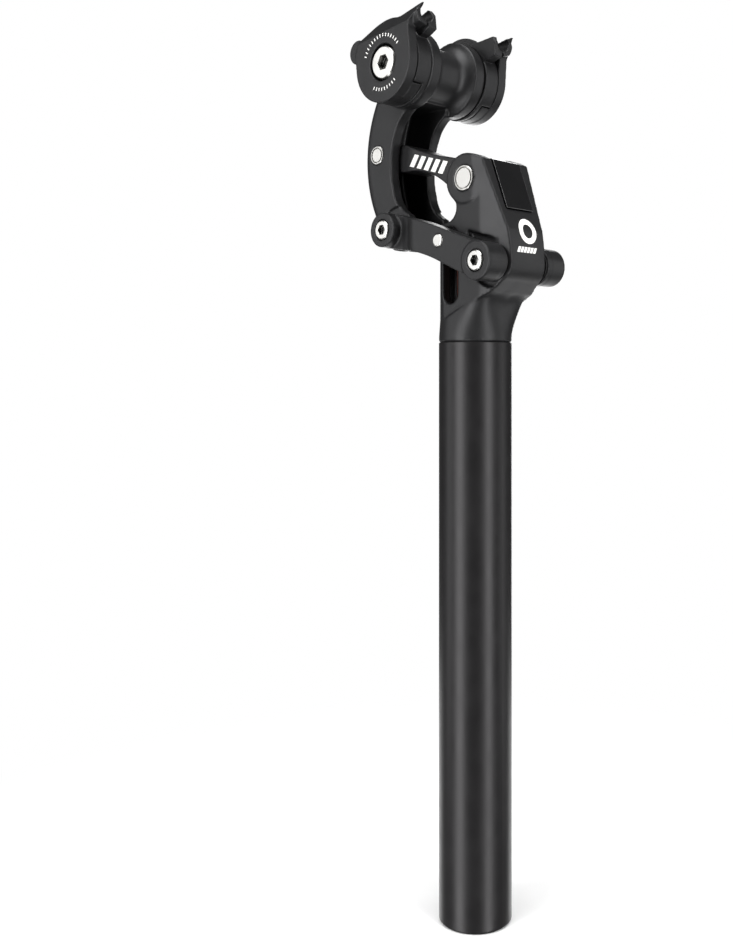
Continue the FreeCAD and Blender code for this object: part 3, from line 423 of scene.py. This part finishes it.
def new_piece(name, mesh, body, finish):
    """A finished piece, in place, on its body and with its finish."""
    mesh.name = name
    mesh.materials.clear()
    mesh.materials.append(finish)
    piece = bpy.data.objects.new(name, mesh)
    bpy.context.scene.collection.objects.link(piece)
    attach(piece, body)
    return piece


def stand_in(name, mesh, node):
    """A finished piece that takes a CAD node's place, with its body, slot and finish."""
    slot = slot_of(node)
    piece = new_piece(name, mesh, body_of(node), FINISHES[slot])
    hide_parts(node)
    return piece


def plain_mesh(thing):
    """The evaluated result of an object's modifiers as a mesh of its own. The object is removed."""
    bpy.context.view_layer.update()
    evaluated = thing.evaluated_get(bpy.context.evaluated_depsgraph_get())
    mesh = bpy.data.meshes.new_from_object(evaluated)
    bpy.data.objects.remove(thing)
    return mesh


def scratch_object(mesh):
    thing = bpy.data.objects.new("scratch", mesh)
    bpy.context.scene.collection.objects.link(thing)
    return thing


def merged_mesh(node):
    """A CAD node's mesh as one joined surface, with its flat faces made whole."""
    shape = bmesh.new()
    shape.from_mesh(frame["nodes"][node].data)
    bmesh.ops.remove_doubles(shape, verts=shape.verts, dist=0.002 * MM)
    bmesh.ops.dissolve_degenerate(shape, edges=shape.edges, dist=0.001 * MM)
    bmesh.ops.dissolve_limit(shape, angle_limit=math.radians(0.35),
                             verts=shape.verts, edges=shape.edges)
    for face in shape.faces:
        face.smooth = True
    for edge in shape.edges:
        turn = edge.calc_face_angle(0.0)
        edge.smooth = len(edge.link_faces) == 2 and turn < math.radians(28)
    mesh = bpy.data.meshes.new(node)
    shape.to_mesh(mesh)
    shape.free()
    return mesh


def forged_piece(name, node, grain, passes):
    """A copy of a CAD node with its edges and corners softened as a forging's are.

    grain is the size of the remade surface's squares. More passes make rounder edges.
    """
    thing = scratch_object(merged_mesh(node))
    remade = thing.modifiers.new("even_grain", "REMESH")
    remade.mode = "VOXEL"
    remade.voxel_size = grain
    remade.use_smooth_shade = True
    soft = thing.modifiers.new("soft_edges", "SMOOTH")
    soft.factor = 0.5
    soft.iterations = passes
    stand_in(name, plain_mesh(thing), node)


def rounded_piece(name, node, radius, segments):
    """A copy of a CAD node with its sharp edges rounded."""
    thing = scratch_object(merged_mesh(node))
    bevel = thing.modifiers.new("edge_radius", "BEVEL")
    bevel.width = radius
    bevel.segments = segments
    bevel.limit_method = "ANGLE"
    bevel.angle_limit = math.radians(32)
    bevel.miter_outer = "MITER_ARC"
    weighted = thing.modifiers.new("even_shading", "WEIGHTED_NORMAL")
    weighted.keep_sharp = True
    stand_in(name, plain_mesh(thing), node)


def turned_piece(name, node, profile):
    """A part turned about an axis across the post, from its half section, in a CAD node's place.

    profile is a run of (radius, distance from the middle) in millimetres, on the axis at both ends.
    """
    segments = 72
    low, high = (Vector(corner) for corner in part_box(node))
    centre = (low + high) / 2
    shape = bmesh.new()
    rows = []
    for radius, along in profile:
        if radius == 0:
            rows.append([shape.verts.new(centre + Vector((0, along * MM, 0)))])
            continue
        row = []
        for step in range(segments):
            turn = 2 * math.pi * step / segments
            spoke = Vector((math.cos(turn), 0, math.sin(turn))) * radius * MM
            row.append(shape.verts.new(centre + spoke + Vector((0, along * MM, 0))))
        rows.append(row)
    for low, high in zip(rows, rows[1:]):
        for step in range(segments):
            after = (step + 1) % segments
            ring = [low[step % len(low)], low[after % len(low)],
                    high[after % len(high)], high[step % len(high)]]
            shape.faces.new(list(dict.fromkeys(ring)))
    bmesh.ops.recalc_face_normals(shape, faces=shape.faces)
    for face in shape.faces:
        face.smooth = True
    for edge in shape.edges:
        edge.smooth = edge.calc_face_angle(0.0) < math.radians(30)
    mesh = bpy.data.meshes.new(name)
    shape.to_mesh(mesh)
    shape.free()
    stand_in(name, mesh, node)


def film_on(target, rows, way, ink, closed=False):
    """A bmesh of a thin film of ink printed on a surface.

    rows is a grid of places in front of the surface. Each moves along way until it meets the
    target. closed joins the last row to the first, as in a ring.
    """
    tree = BVHTree.FromObject(target, bpy.context.evaluated_depsgraph_get())
    shape = bmesh.new()
    top, bottom = [], []
    for row in rows:
        upper, lower = [], []
        for place in row:
            hit, normal, _, _ = tree.ray_cast(place, way)
            if hit is None:
                raise RuntimeError("the ink misses %s at %s" % (target.name, place))
            upper.append(shape.verts.new(hit + normal * ink))
            lower.append(shape.verts.new(hit - normal * ink))
        top.append(upper)
        bottom.append(lower)
    count, width = len(rows), len(rows[0])
    steps = [(i, (i + 1) % count) for i in range(count if closed else count - 1)]
    for here, after in steps:
        for j in range(width - 1):
            shape.faces.new([top[here][j], top[here][j + 1],
                             top[after][j + 1], top[after][j]])
            shape.faces.new([bottom[here][j + 1], bottom[here][j],
                             bottom[after][j], bottom[after][j + 1]])
        for j, flip in ((0, False), (width - 1, True)):
            side = [top[here][j], top[after][j], bottom[after][j], bottom[here][j]]
            shape.faces.new(side[::-1] if flip else side)
    if not closed:
        for i, flip in ((0, True), (count - 1, False)):
            for j in range(width - 1):
                side = [top[i][j], top[i][j + 1], bottom[i][j + 1], bottom[i][j]]
                shape.faces.new(side[::-1] if flip else side)
    bmesh.ops.recalc_face_normals(shape, faces=shape.faces)
    return shape


def join_shapes(shapes, name):
    """One mesh from several bmeshes."""
    whole = bmesh.new()
    for shape in shapes:
        part = bpy.data.meshes.new("part")
        shape.to_mesh(part)
        shape.free()
        whole.from_mesh(part)
        bpy.data.meshes.remove(part)
    mesh = bpy.data.meshes.new(name)
    whole.to_mesh(mesh)
    whole.free()
    return mesh


# ---------------------------------------------------------------- geometry nodes

def node_group(name, inputs):
    """A geometry node group with inputs as (name, socket type, default), and one for the ink."""
    group = bpy.data.node_groups.new(name, "GeometryNodeTree")
    for title, kind, value in inputs:
        socket = group.interface.new_socket(title, in_out="INPUT", socket_type=kind)
        socket.default_value = value
    group.interface.new_socket("Ink", in_out="INPUT", socket_type="NodeSocketMaterial")
    group.interface.new_socket("Geometry", in_out="OUTPUT", socket_type="NodeSocketGeometry")
    given = group.nodes.new("NodeGroupInput").outputs
    outputs = group.nodes.new("NodeGroupOutput").inputs
    return group, given, outputs


def mesh_from_group(group, material):
    """The mesh that a geometry node group makes on its own, with its material set."""
    thing = scratch_object(bpy.data.meshes.new("seed"))
    maker = thing.modifiers.new("maker", "NODES")
    maker.node_group = group
    ink = next(item for item in group.interface.items_tree if item.name == "Ink")
    maker[ink.identifier] = material
    return plain_mesh(thing)


def finish_group(group, geometry, given, outputs):
    """Realize the instances, set the material, and hand the geometry out."""
    real = add(group, "GeometryNodeRealizeInstances", {}, {"Geometry": geometry})
    inked = add(group, "GeometryNodeSetMaterial", {}, {
        "Geometry": real.outputs["Geometry"], "Material": given["Ink"]})
    group.links.new(inked.outputs["Geometry"], outputs["Geometry"])


def tick_ring_group(radius, size):
    """Ticks along an upper and a lower arc, pointing at the middle. The arcs are in degrees."""
    group, given, outputs = node_group("tick_ring", (
        ("Radius", "NodeSocketFloat", radius), ("Upper Ticks", "NodeSocketInt", 15),
        ("Lower Ticks", "NodeSocketInt", 9), ("Tick Size", "NodeSocketVector", size)))
    tick = add(group, "GeometryNodeMeshCube", {}, {"Size": given["Tick Size"]}).outputs["Mesh"]
    joined = add(group, "GeometryNodeJoinGeometry")
    for ticks, start, sweep in (("Upper Ticks", 28, 124), ("Lower Ticks", 236, 68)):
        arc = add(group, "GeometryNodeCurveArc", {}, {
            "Radius": given["Radius"], "Start Angle": math.radians(start),
            "Sweep Angle": math.radians(sweep)})
        points = add(group, "GeometryNodeCurveToPoints", {"mode": "COUNT"}, {
            "Curve": arc.outputs["Curve"], "Count": given[ticks]})
        spot = add(group, "GeometryNodeInputPosition")
        turn = add(group, "FunctionNodeAlignRotationToVector", {"axis": "X"}, {
            "Vector": spot.outputs["Position"]})
        placed = add(group, "GeometryNodeInstanceOnPoints", {}, {
            "Points": points.outputs["Points"], "Instance": tick,
            "Rotation": turn.outputs["Rotation"]})
        group.links.new(placed.outputs["Instances"], joined.inputs["Geometry"])
    finish_group(group, joined.outputs["Geometry"], given, outputs)
    return group


def stripe_group(pitch, size):
    """A row of upright blocks which all lean forward."""
    group, given, outputs = node_group("leaning_stripes", (
        ("Stripes", "NodeSocketInt", 5), ("Pitch", "NodeSocketFloat", pitch),
        ("Stripe Size", "NodeSocketVector", size), ("Lean", "NodeSocketFloat", 0.32)))
    step = add(group, "ShaderNodeCombineXYZ", {}, {"X": given["Pitch"]}).outputs["Vector"]
    line = add(group, "GeometryNodeMeshLine", {"mode": "OFFSET"}, {
        "Count": given["Stripes"], "Offset": step})
    block = add(group, "GeometryNodeMeshCube", {}, {"Size": given["Stripe Size"]}).outputs["Mesh"]
    placed = add(group, "GeometryNodeInstanceOnPoints", {}, {
        "Points": line.outputs["Mesh"], "Instance": block})
    real = add(group, "GeometryNodeRealizeInstances", {}, {"Geometry": placed.outputs["Instances"]})
    spot = add(group, "GeometryNodeInputPosition").outputs["Position"]
    height = add(group, "ShaderNodeSeparateXYZ", {}, {"Vector": spot}).outputs["Y"]
    shift = add(group, "ShaderNodeMath", {"operation": "MULTIPLY"})
    group.links.new(height, shift.inputs[0])
    group.links.new(given["Lean"], shift.inputs[1])
    push = add(group, "ShaderNodeCombineXYZ", {}, {"X": shift.outputs["Value"]}).outputs["Vector"]
    leaning = add(group, "GeometryNodeSetPosition", {}, {
        "Geometry": real.outputs["Geometry"], "Offset": push})
    finish_group(group, leaning.outputs["Geometry"], given, outputs)
    return group


def squeezed_piece(name, node):
    """A copy of the spring or the damper, in its CAD node's place, with a mesh of its own."""
    piece = stand_in(name, merged_mesh(node), node)
    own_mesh(piece)


def refinish(node):
    """Give a carried-over CAD node its finish."""
    mesh = frame["nodes"][node].data
    mesh.materials.clear()
    mesh.materials.append(FINISHES[slot_of(node)])


# ---------------------------------------------------------------- marks and pins

def grooved_pin(radius, half):
    """Half section of a pin in millimetres, with a groove round each end and small chamfers."""
    lip, groove, depth, chamfer = radius - 0.55, radius - 1.2, 1.2, 0.2
    end = [(0, half), (groove, half), (groove, half - depth), (lip, half - depth), (lip, half),
           (radius - chamfer, half), (radius, half - chamfer)]
    return end + [(spot[0], -spot[1]) for spot in reversed(end)]


def print_emblem(sizes, ink):
    """A ring over a row of leaning blocks, printed on the head's sloping front."""
    head = bpy.data.objects["head_forging"]
    back = Vector((-1, 0, 0))
    centre = Vector((AHEAD_OF_HEAD, EMBLEM_ACROSS, EMBLEM_HEIGHT)) * MM
    outer, inner = sizes.emblem_radius, sizes.emblem_radius * EMBLEM_HOLE
    steps = 64
    rows = []
    for step in range(steps):
        turn = 2 * math.pi * step / steps
        spoke = Vector((0, math.cos(turn), math.sin(turn)))
        rows.append([centre + spoke * (inner + (outer - inner) * part / 4) for part in range(5)])
    shapes = [film_on(head, rows, back, sizes.ink_height, closed=True)]
    middle = Vector((AHEAD_OF_HEAD, BAR_ACROSS, BAR_HEIGHT)) * MM
    slant = Vector((0, BAR_HALF_LEAN, BAR_HALF_HEIGHT)) * MM
    pitch = sizes.emblem_bar_half * 2 / BAR_BLOCKS
    for block in range(BAR_BLOCKS):
        left = block * pitch - sizes.emblem_bar_half
        rows = []
        for step in range(4):
            across = Vector((0, left + pitch * BAR_FILL * step / 3, 0))
            rows.append([middle + across + slant * rise for rise in (-1, -0.33, 0.33, 1)])
        shapes.append(film_on(head, rows, back, sizes.ink_height))
    new_piece("printed_emblem", join_shapes(shapes, "printed_emblem"), "post", ink)


def print_stripes(sizes, ink):
    """Leaning stripes along the near side of the upper link."""
    film = sizes.ink_height * 2
    size = (STRIPE_FILL * sizes.stripe_pitch, STRIPE_HEIGHT * MM, film)
    mesh = mesh_from_group(stripe_group(sizes.stripe_pitch, size), ink)
    start = Vector(STRIPES_START) * MM
    mesh.transform(Matrix.Translation(start) @ facing_near(UPPER_LINK_SLOPE))
    new_piece("printed_stripes", mesh, "upper_link", ink)


def print_ticks(sizes, ink):
    """A ring of ticks round the cross bolt, on the near saddle clamp's cap."""
    size = (TICK_LENGTH * MM, TICK_WIDTH * MM, sizes.ink_height * 2)
    mesh = mesh_from_group(tick_ring_group(sizes.tick_circle, size), ink)
    place = Vector((SADDLE_BOLT[0], NEAR_CAP_FACE * MM, SADDLE_BOLT[2]))
    mesh.transform(Matrix.Translation(place) @ facing_near(NEAR_CLAMP_TILT))
    new_piece("printed_ticks", mesh, "near_saddle_clamp", ink)


def facing_near(lift):
    """The turn that stands a flat mark up on the near side, with its X raised by lift degrees."""
    return Matrix.Rotation(math.radians(-lift), 4, "Y") @ Matrix.Rotation(math.radians(90), 4, "X")


# ---------------------------------------------------------------- operators

class SEATPOST_OT_finishes(bpy.types.Operator):
    """Make the finishes and give them to every carried-over piece"""
    bl_idname = "seatpost.finishes"
    bl_label = "Finishes"

    def execute(self, context):
        make_finishes(context.scene.seatpost_colours)
        for node in frame["nodes"]:
            refinish(node)
        return {"FINISHED"}


class SEATPOST_OT_head(bpy.types.Operator):
    """Round the forged head's edges"""
    bl_idname = "seatpost.head"
    bl_label = "Head"

    def execute(self, context):
        sizes = context.scene.seatpost_sizes
        forged_piece("head_forging", "post_head", sizes.head_grain, sizes.head_passes)
        rounded_piece("moulded_cover", "front_cover", sizes.cover_edge, 3)
        return {"FINISHED"}


class SEATPOST_OT_spring(bpy.types.Operator):
    """Copy the spring and the damper into pieces of their own"""
    bl_idname = "seatpost.spring"
    bl_label = "Spring"

    def execute(self, context):
        squeezed_piece("coil_spring", "main_spring")
        squeezed_piece("damper_rod", "damping_elastomer")
        return {"FINISHED"}


class SEATPOST_OT_links(bpy.types.Operator):
    """Round the edges of both link pairs"""
    bl_idname = "seatpost.links"
    bl_label = "Links"

    def execute(self, context):
        sizes = context.scene.seatpost_sizes
        for side in ("near", "far"):
            forged_piece(side + "_lower_link_forging", side + "_lower_arm",
                         sizes.link_grain, sizes.link_passes)
        forged_piece("upper_link_forging", "upper_link", sizes.link_grain, sizes.link_passes)
        return {"FINISHED"}


class SEATPOST_OT_clamp(bpy.types.Operator):
    """Round the edges of the clamp arm and of the saddle clamp"""
    bl_idname = "seatpost.clamp"
    bl_label = "Clamp"

    def execute(self, context):
        sizes = context.scene.seatpost_sizes
        forged_piece("clamp_arm_forging", "clamp_arm", sizes.head_grain, sizes.arm_passes)
        for side in ("near", "far"):
            forged_piece(side + "_cap_forging", side + "_cap",
                         sizes.clamp_grain, sizes.cap_passes)
            forged_piece(side + "_cradle_forging", side + "_cradle",
                         sizes.clamp_grain, sizes.cradle_passes)
        return {"FINISHED"}


class SEATPOST_OT_fasteners(bpy.types.Operator):
    """Turn the pins with their grooved ends, and round the fasteners' rims"""
    bl_idname = "seatpost.fasteners"
    bl_label = "Fasteners"

    def execute(self, context):
        edge = context.scene.seatpost_sizes.steel_edge
        for node, radius, half in GROOVED_PINS:
            turned_piece(node + "_turned", node, grooved_pin(radius, half))
        for node in ROUNDED_FASTENERS:
            rounded_piece(node + "_finished", node, edge, 2)
        return {"FINISHED"}


class SEATPOST_OT_marks(bpy.types.Operator):
    """Print the emblem on the head, the upper link's stripes and the ticks round the clamp bolt"""
    bl_idname = "seatpost.marks"
    bl_label = "Marks"

    def execute(self, context):
        sizes = context.scene.seatpost_sizes
        ink = FINISHES["ink"]
        print_emblem(sizes, ink)
        print_stripes(sizes, ink)
        print_ticks(sizes, ink)
        return {"FINISHED"}


class SEATPOST_OT_stage(bpy.types.Operator):
    """Set the floor, the soft lights, the sky and the camera"""
    bl_idname = "seatpost.stage"
    bl_label = "Stage"

    def execute(self, context):
        scene, stage = context.scene, context.scene.seatpost_stage
        make_floor(stage, CAD_BOX[0][2])
        make_sky(scene)
        toward, right = view_directions(stage)
        # Name, side, degrees round from the lens, height, power, and width and height of the box.
        for name, side, turn, height, power, size in (
                ("left_softbox", -1, 50, -0.35, stage.side_light, (0.46, 2.8)),
                ("right_softbox", 1, 42, -0.35, stage.side_light * 0.8, (0.34, 2.8)),
                ("left_wide_softbox", -1, 90, 0.05, stage.wide_light, (0.36, 1.2)),
                ("right_wide_softbox", 1, 94, 0.05, stage.wide_light, (0.36, 1.2)),
                ("back_softbox", 1, 176, 0.2, stage.back_light, (0.5, 1.2)),
                ("left_low_softbox", -1, 150, -1.0, stage.low_light, (0.9, 1.1)),
                ("right_low_softbox", 1, 150, -1.0, stage.low_light, (0.9, 1.1))):
            angle = math.radians(turn)
            way = toward * math.cos(angle) + right * side * math.sin(angle)
            add_light(name, way * stage.reach + UP * height, power, size)
        add_light("top_softbox", UP * 1.0 + toward * 0.25, stage.top_light, (0.9, 0.9))
        make_camera(scene, stage, toward)
        scene.view_settings.view_transform = "Standard"
        return {"FINISHED"}


# ---------------------------------------------------------------- stage

def view_directions(stage):
    """Unit vectors from the tube's axis towards the camera, and to the camera's right."""
    toward = Vector((math.sin(stage.azimuth), -math.cos(stage.azimuth), 0))
    right = Vector((math.cos(stage.azimuth), math.sin(stage.azimuth), 0))
    return toward, right


def make_floor(stage, height):
    """A wide round floor under the tube's foot.

    It doesn't mirror in the tube, and it lets the low lights under it through.
    """
    shape = bmesh.new()
    bmesh.ops.create_circle(shape, cap_ends=True, segments=96, radius=6.0,
                            matrix=Matrix.Translation((0, 0, height)))
    mesh = bpy.data.meshes.new("studio_floor")
    shape.to_mesh(mesh)
    shape.free()
    mesh.materials.append(painted_floor(stage))
    floor = bpy.data.objects.new("studio_floor", mesh)
    bpy.context.scene.collection.objects.link(floor)
    floor.visible_glossy = False
    floor.visible_shadow = False


def make_sky(scene):
    """White where the lens sees it, and dim grey where it lights the object."""
    world = bpy.data.worlds.new("studio_sky")
    scene.world = world
    world.use_nodes = True
    tree = world.node_tree
    path = add(tree, "ShaderNodeLightPath")
    dim = add(tree, "ShaderNodeBackground", {}, {"Color": linear("c8c8c8"), "Strength": 0.16})
    white = add(tree, "ShaderNodeBackground", {}, {"Color": (1, 1, 1, 1), "Strength": 1.0})
    mix = add(tree, "ShaderNodeMixShader", {}, {"Fac": path.outputs["Is Camera Ray"]})
    tree.links.new(dim.outputs["Background"], mix.inputs[1])
    tree.links.new(white.outputs["Background"], mix.inputs[2])
    tree.links.new(mix.outputs["Shader"], tree.nodes["World Output"].inputs["Surface"])


def add_light(name, place, power, size):
    """A softbox that the lens can't see. It aims level at the post, or down if it hangs above."""
    data = bpy.data.lights.new(name, "AREA")
    data.shape = "RECTANGLE"
    data.size, data.size_y = size
    data.energy = power
    light = bpy.data.objects.new(name, data)
    bpy.context.scene.collection.objects.link(light)
    light.visible_camera = False
    light.location = place
    aim = Vector((0, 0, place.z)) if place.xy.length > 0.5 else Vector((0, 0, 0))
    light.rotation_euler = (aim - place).to_track_quat("-Z", "Y").to_euler()


def make_camera(scene, stage, toward):
    """A level camera, with its lens shifted so that the tube stays upright."""
    data = bpy.data.cameras.new("camera")
    data.sensor_fit = "AUTO"
    data.sensor_width = 36.0
    data.lens = stage.lens
    data.shift_x = stage.shift_x
    data.shift_y = stage.shift_y
    data.clip_start = 0.01
    camera = bpy.data.objects.new("camera", data)
    scene.collection.objects.link(camera)
    camera.location = toward * stage.distance - UP * stage.drop
    camera.rotation_euler = (-toward).to_track_quat("-Z", "Y").to_euler()
    scene.camera = camera


# ---------------------------------------------------------------- panel and registration

STEPS = ("finishes", "head", "spring", "links", "clamp", "fasteners", "marks", "stage")


class SEATPOST_PT_panel(bpy.types.Panel):
    """The seatpost's pieces, in the order in which they are made"""
    bl_idname = "SEATPOST_PT_panel"
    bl_label = "Seatpost"
    bl_space_type = "VIEW_3D"
    bl_region_type = "UI"
    bl_category = "Seatpost"

    def draw(self, context):
        for step in STEPS:
            self.layout.operator("seatpost." + step)


GROUPS = (
    ("seatpost_sizes", SeatpostSizes),
    ("seatpost_colours", SeatpostColours),
    ("seatpost_stage", SeatpostStage),
)
CLASSES = (
    SEATPOST_OT_finishes, SEATPOST_OT_head, SEATPOST_OT_spring, SEATPOST_OT_links,
    SEATPOST_OT_clamp, SEATPOST_OT_fasteners, SEATPOST_OT_marks, SEATPOST_OT_stage,
    SEATPOST_PT_panel,
)


def register():
    for name, group in GROUPS:
        bpy.utils.register_class(group)
        setattr(bpy.types.Scene, name, bpy.props.PointerProperty(type=group))
    for item in CLASSES:
        bpy.utils.register_class(item)


def unregister():
    for item in reversed(CLASSES):
        bpy.utils.unregister_class(item)
    for name, group in reversed(GROUPS):
        delattr(bpy.types.Scene, name)
        bpy.utils.unregister_class(group)


def main():
    register()
    for step in STEPS:
        getattr(bpy.ops.seatpost, step)()


if __name__ == "__main__":
    main()
